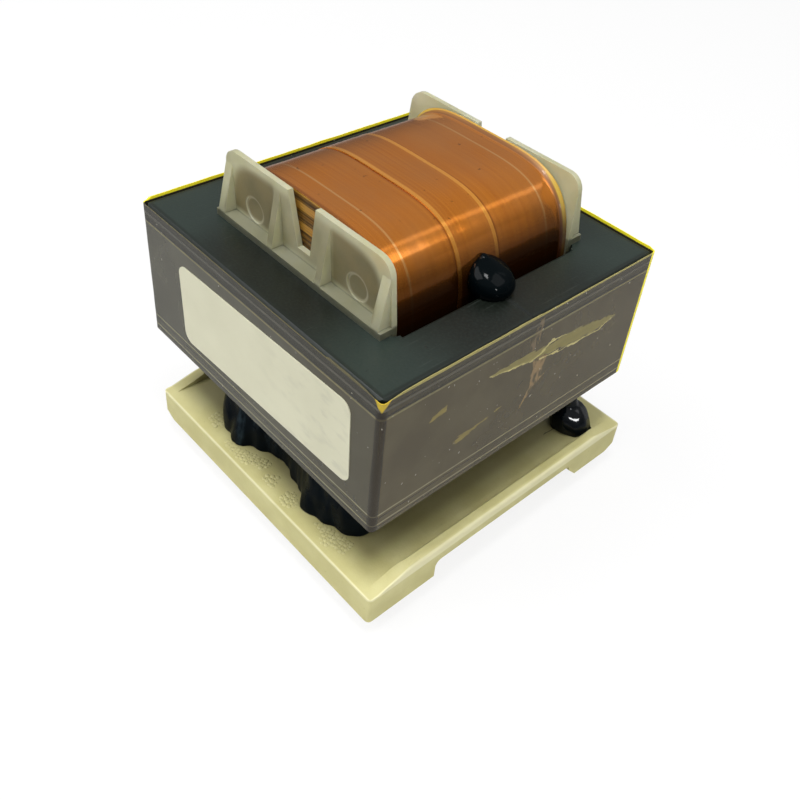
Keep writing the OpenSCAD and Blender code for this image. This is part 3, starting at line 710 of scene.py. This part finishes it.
# Leads: sleeved wires that leave the coil through the flanges' lower slots and wrap onto the pins.
# The glue buries most of them.
sleeve, place, *_ = start("lead_sleeve")
braid = place.add("ShaderNodeTexWave", {"bands_direction": "DIAGONAL"}, {"Vector": place, "Scale": 1.1})
tone = cloud(place, 0.6)
finish_shader(
    place,
    Base_Color=(braid * 0.5 + tone * 0.4).mix(paint(26, 26, 28), paint(58, 57, 56)),
    Roughness=0.55 + tone * 0.2,
    Normal=bumps(braid, 0.06),
)
for node in ("front_leads", "rear_leads"):
    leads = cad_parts[node]
    coat(leads, sleeve)

# Glue: black adhesive poured between the base and the core, and in beads on the core.
# It cured glossy, in rounded lumps that run into each other.


def blob(name, balls, voxel, smooth, box, floor, roof):
    """One smooth mass from overlapping balls (centre, radii in mm), kept inside a box and two heights."""
    mesh = bmesh.new()
    bmesh.ops.create_icosphere(mesh, subdivisions=1, radius=1.0)
    unit = [vertex.co.copy() for vertex in mesh.verts]
    sides = [[vertex.index for vertex in face.verts] for face in mesh.faces]
    mesh.free()
    points = []
    faces = []
    for centre, radii in balls:
        first = len(points)
        points += [(Vector(centre) + spot * Vector(radii)) / 1000 for spot in unit]
        faces += [[first + i for i in side] for side in sides]
    data = bpy.data.meshes.new(name)
    data.from_pydata(points, [], faces)
    piece = bpy.data.objects.new(name, data)
    bpy.context.scene.collection.objects.link(piece)
    remesh = piece.modifiers.new("skin", "REMESH")
    remesh.mode = "VOXEL"
    remesh.voxel_size = voxel
    relax = piece.modifiers.new("relax", "SMOOTH")
    relax.iterations = smooth
    relax.factor = 0.5
    settle(piece)
    low, high = box
    for vertex in piece.data.vertices:
        spot = vertex.co
        spot += vertex.normal * 0.2e-3 * noise.noise(Vector((spot.x * 420, spot.y * 420, spot.z * 120)))
        spot.x = min(max(spot.x, low.x), high.x)
        spot.y = min(max(spot.y, low.y), high.y)
        spot.z = min(max(spot.z, floor), roof)
    piece.data.update()
    return piece


black, place, x, y, z = start("black_adhesive")
skin = cloud(place, 0.3, 3.0)
haze = cloud(place, 0.12, 3.0)
dust = cloud(place, 2.2, 3.0).step(0.74, 0.84)
bead_gloss = z.step(20.0, 40.0)
corner_gloss = x.step(17.5, 19.0) * y.step(0.0, 10.0) * z.step(20.0, 15.0)
shade = skin.mix(paint(3, 6, 9), paint(14, 21, 26))
shade = (bead_gloss * 0.75).mix(shade, paint(1, 5, 6))
# Pale bluish streaks low on the left lobe are painted reflection on the glossy black glue.
painted_sheen_streak = cloud(place, 0.5, 4.0, (1.0, 1.0, 0.3)).step(0.5, 0.72)
painted_sheen_streak = painted_sheen_streak * x.step(1.0, -6.0) * z.step(20.0, 14.0)
shade = (painted_sheen_streak * 0.5).mix(shade, paint(62, 78, 86))
shade = (dust * 0.2).mix(shade, paint(92, 94, 96))
finish_shader(
    place,
    Base_Color=shade,
    Roughness=0.22 + haze * 0.12 + dust * 0.2 - bead_gloss * 0.14,
    Normal=bumps(skin, 0.06),
    Specular_IOR_Level=0.02,
    Coat_Weight=0.02 + bead_gloss * 0.07 + corner_gloss * 0.5,
    Coat_Roughness=0.05,
)
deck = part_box("front_glue")[0].z
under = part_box("core_half_front")[0].z
for node, back, lumps in (
    ("front_glue", -21.6, (
        (-15.2, -22.8, 2.1), (-12.9, -24.2, 2.5), (-9.9, -24.7, 2.5), (-6.7, -23.2, 2.1), (-3.3, -21.9, 1.9),
        (-0.2, -21.6, 1.9), (2.7, -22.4, 2.1), (5.5, -23.1, 2.2), (8.8, -24.4, 2.6), (12.1, -23.9, 2.5),
        (15.4, -23.0, 2.4), (16.8, -22.4, 1.7),
    )),
    ("rear_glue", 21.7, (
        (-12.8, 22.4, 2.5), (-9.6, 22.7, 2.5), (-6.4, 22.3, 2.3), (-2.2, 21.8, 2.2), (2.2, 22.2, 2.4),
        (5.8, 22.6, 2.5), (9.4, 22.5, 2.4), (12.9, 22.2, 2.4),
    )),
):
    balls = []
    for i in range(26):
        level = i / 25
        height = (deck + (under - deck) * level) * 1000
        for place_x, place_y, foot in lumps:
            sag = noise.noise(Vector((place_x * 0.7, back, level * 2.4)))
            sway = noise.noise(Vector((place_x * 0.9, back + 7.0, level * 2.0)))
            girth = foot * (1.04 - 0.12 * level + 0.3 * sag)
            middle_y = place_y + (back - place_y) * 0.35 * level
            balls.append(((place_x + 1.1 * sway * level, middle_y, height), (girth, girth, 0.9)))
        for k in range(20):
            place_x = lumps[0][0] + (lumps[-1][0] - lumps[0][0]) * k / 19
            balls.append(((place_x, back, height), (2.0, 2.0, 0.9)))
        for (from_x, from_y, from_r), (to_x, to_y, to_r) in zip(lumps, lumps[1:]):
            girth = (from_r + to_r) * (0.4 + 0.09 * min(1.0, level * 3) - 0.06 * level)
            middle_y = (from_y + to_y) / 2
            middle_y += (back - middle_y) * 0.35 * level
            balls.append((((from_x + to_x) / 2, middle_y, height), (girth, girth, 0.9)))
    mass = blob(node + "_mass", balls, 0.35e-3, 10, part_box(node), deck, under)
    coat(mass, black)
    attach(mass, "root")
    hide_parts(node)

low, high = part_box("corner_glue")
centre = (low + high) * 500
reach = (high.x - low.x) * 500
balls = []
for i in range(30):
    level = i / 29
    height = (low.z + (high.z - low.z) * level) * 1000
    dome = math.sqrt(max(0.0, 1.0 - (level / 0.42) ** 2))
    girth = reach * max(1.12 * dome, 0.42 + 0.1 * level)
    girth += 0.15 * noise.noise(Vector((3.0, level * 3.0, 1.0)))
    balls.append(((centre.x + 0.2 - 2.0 * level, centre.y - 0.2 - 1.6 * level, height), (girth, girth, 0.7)))
for i in range(7):
    size = 1.1 - 0.14 * i
    spot = (centre.x + reach * (0.62 + 0.08 * i), centre.y + 0.3 + 0.25 * i, low.z * 1000 + 0.25)
    balls.append((spot, (size, size * 0.8, size * 0.7)))
lump = blob("corner_glue_mass", balls, 0.25e-3, 16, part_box("corner_glue"), low.z, high.z)
coat(lump, black)
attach(lump, "root")
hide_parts("corner_glue")

foot = Vector((17.4, -0.9, core_top * 1000))
profile = (
    (-0.3, 2.9), (0.0, 3.0), (0.4, 3.25), (1.0, 3.5), (1.7, 3.5), (2.4, 3.35), (3.0, 3.0), (3.5, 2.5),
    (3.85, 1.95), (4.1, 1.4), (4.3, 0.9), (4.5, 0.55), (4.8, 0.25),
)
mesh = bmesh.new()
rings = []
for (height, size), (next_height, next_size) in zip(profile, profile[1:]):
    for i in range(5):
        level = height + (next_height - height) * i / 5
        girth = size + (next_size - size) * i / 5
        lean = 2.3 * (max(0.0, level) / 4.8) ** 2
        ring = []
        for k in range(64):
            angle = math.pi * k / 32
            c = math.cos(angle)
            s = math.sin(angle)
            ripple = 1.0 + 0.03 * noise.noise(Vector((c * 1.3, s * 1.3, level * 0.5)))
            out = Vector((c, s, 0.0)) * girth * ripple
            ring.append(mesh.verts.new((foot + out + Vector((-lean, 0.0, level))) / 1000))
        rings.append(ring)
for ring, above in zip(rings, rings[1:]):
    for k in range(64):
        mesh.faces.new((ring[k - 1], ring[k], above[k], above[k - 1]))
mesh.faces.new(list(reversed(rings[0])))
tip = mesh.verts.new((foot + Vector((-2.35, 0.0, 4.85))) / 1000)
for k in range(64):
    mesh.faces.new((rings[-1][k - 1], rings[-1][k], tip))
for _ in range(6):
    bmesh.ops.smooth_vert(
        mesh, verts=mesh.verts, factor=0.5, use_axis_x=True, use_axis_y=True, use_axis_z=True
    )
bead = piece_from(mesh, "leg_glue_bead")
coil_half = (strip_high - strip_low) / 2
for vertex in bead.data.vertices:
    spot = vertex.co
    rise = min(1.0, abs(spot.z - coil_z / 1000) / coil_half.z)
    spot.x = max(spot.x, core_x / 1000 + coil_half.x * (1 - rise ** 4) ** 0.25 + 0.00003)
bead.data.update()
coat(bead, black)
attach(bead, "root")
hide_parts("leg_glue")

# Bubbles: a froth of small low blisters that the adhesive left on the base in front of its two lobes.
# They are the base's own colour, and they lie close together by the right lobe.
plate_top = 5.4
sunk = 5.35e-3
mesh = bmesh.new()
for i in range(330):
    along = -19.0 + 38.0 * ((i * 0.6180339) % 1.0)
    out = 3.4 * ((i * 0.7548777) % 1.0) ** 1.4
    edge = 24.4 + 2.4 * math.exp(-((along + 9.8) / 4.5) ** 2) + 2.2 * math.exp(-((along - 9.6) / 4.5) ** 2)
    spot = Vector((along, -edge - 0.4 - out, plate_top))
    if spot.y < -28.4:
        continue
    if noise.noise(spot * 0.3) < (-0.15 if along > 4.0 else 0.25):
        continue
    size = 0.26 + 0.16 * ((i * 0.5698403) % 1.0)
    dome = Matrix.Diagonal((size / 1000, size / 1000, size * 0.24 / 1000, 1.0))
    dome = Matrix.Translation(spot / 1000) @ dome
    bmesh.ops.create_icosphere(mesh, subdivisions=2, radius=1.0, matrix=dome)
for vertex in mesh.verts:
    vertex.co.z = max(vertex.co.z, sunk)
froth = piece_from(mesh, "base_blisters")
clear, place, x, y, z = start("blister_skin")
tone = cloud(place, 0.8)
shade = tone.mix(paint(190, 183, 124), paint(210, 204, 150))
# The blisters under the core get the same painted shadow as the base.
shade = (painted_core_shadow(x, y) * 0.66).mix(shade, paint(58, 50, 26))
finish_shader(
    place,
    Base_Color=shade,
    Roughness=0.3 + tone * 0.1,
    Normal=bumps(cloud(place, 4.0), 0.02),
    Coat_Weight=0.2,
)
coat(froth, clear)
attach(froth, "root")

# Floor: a wide white ground that the object's pins stand on.
# It shows white to the camera and keeps the object's soft shadow.
mesh = bpy.data.meshes.new("floor")
mesh.from_pydata([(-4, -4, 0), (4, -4, 0), (4, 4, 0), (-4, 4, 0)], [], [(0, 1, 2, 3)])
floor = bpy.data.objects.new("floor", mesh)
floor.location.z = cad_box[0][2]
bpy.context.scene.collection.objects.link(floor)
ground, place, *_ = start("white_ground")
tone = cloud(place, 0.004, 2.0)
seen = place.add("ShaderNodeLightPath", {}, {}, "Is Camera Ray")
pale = tone.mix((0.86, 0.86, 0.86, 1), (0.9, 0.9, 0.9, 1))
mirrored = place.add("ShaderNodeLightPath", {}, {}, "Is Glossy Ray")
pale = (mirrored * 0.7).mix(pale, (0, 0, 0, 1))
matte = place.add("ShaderNodeBsdfDiffuse", {}, {"Color": pale})
lamp = place.add("ShaderNodeEmission", {}, {"Color": (1, 1, 1, 1), "Strength": 1.0})
both = place.add("ShaderNodeMixShader", {}, {0: seen * 0.84, 1: matte, 2: lamp})
place.add("ShaderNodeOutputMaterial", {}, {"Surface": both})
coat(floor, ground)

# Light: a wide soft box high on the label's side, a strip and a low band behind for the coil's shoulder,
# a wide fill over the right side, a lamp overhead, a small one for the glue's glints, and a pale surround.


def soft_light(name, spot, target, size, power):
    """A rectangular soft box at a spot, turned toward a target, all in millimetres and watts."""
    data = bpy.data.lights.new(name, "AREA")
    data.shape = "RECTANGLE"
    data.size = size[0] / 1000
    data.size_y = size[1] / 1000
    data.energy = power
    light = bpy.data.objects.new(name, data)
    light.location = Vector(spot) / 1000
    light.rotation_euler = (Vector(target) - Vector(spot)).to_track_quat("-Z", "Y").to_euler()
    bpy.context.scene.collection.objects.link(light)


soft_light("key", (-220, -330, 520), (0, 0, 20), (420, 420), 2.45)
soft_light("strip", (106, 298, 377), (10, 0, 50), (50, 160), 0.017)
soft_light("band", (345, 300, 85), (13, 0, 47), (60, 200), 0.007)
soft_light("fill", (300, 130, 500), (0, 0, 20), (420, 320), 0.68)
soft_light("overhead", (45, -60, 440), (15, 0, 30), (80, 80), 0.8)
soft_light("glint", (356, -92, 152), (24, 20, 8), (34, 34), 0.165)
world = bpy.data.worlds.new("studio")
bpy.context.scene.world = world
world.use_nodes = True
world.node_tree.nodes.clear()
sky = Wire(world.node_tree)
path = [sky.add("ShaderNodeLightPath", {}, {}, out) for out in ("Is Camera Ray", "Is Transmission Ray")]
upward = sky.add("ShaderNodeTexCoord", {}, {}, "Generated")
upward = upward.add("ShaderNodeSeparateXYZ", {}, {0: upward}, "Z")
soft = 0.16 + upward.step(0.05, 0.7) * 0.32
level = (path[0] + path[1]).step(0.0, 1.0)
level = soft + level * (1.0 - soft)
shell = sky.add("ShaderNodeBackground", {}, {"Color": (1, 1, 1, 1), "Strength": level})
sky.add("ShaderNodeOutputWorld", {}, {"Surface": shell})

# Camera: fitted to the core's corners in the photograph, above and to the right of the label.
# The lens is shifted, because the photograph's middle is not where the camera points.
lens = bpy.data.cameras.new("camera")
lens.lens = 40.8197
lens.sensor_width = 36.0
lens.shift_x = -0.0160
lens.shift_y = -0.0836
lens.clip_start = 0.005
camera = bpy.data.objects.new("camera", lens)
camera.location = (0.0814805, -0.0834016, 0.1168234)
camera.rotation_euler = [math.radians(turn) for turn in (50.8713, -5.0079, 47.4987)]
bpy.context.scene.collection.objects.link(camera)
bpy.context.scene.camera = camera
bpy.context.scene.view_settings.view_transform = "Standard"
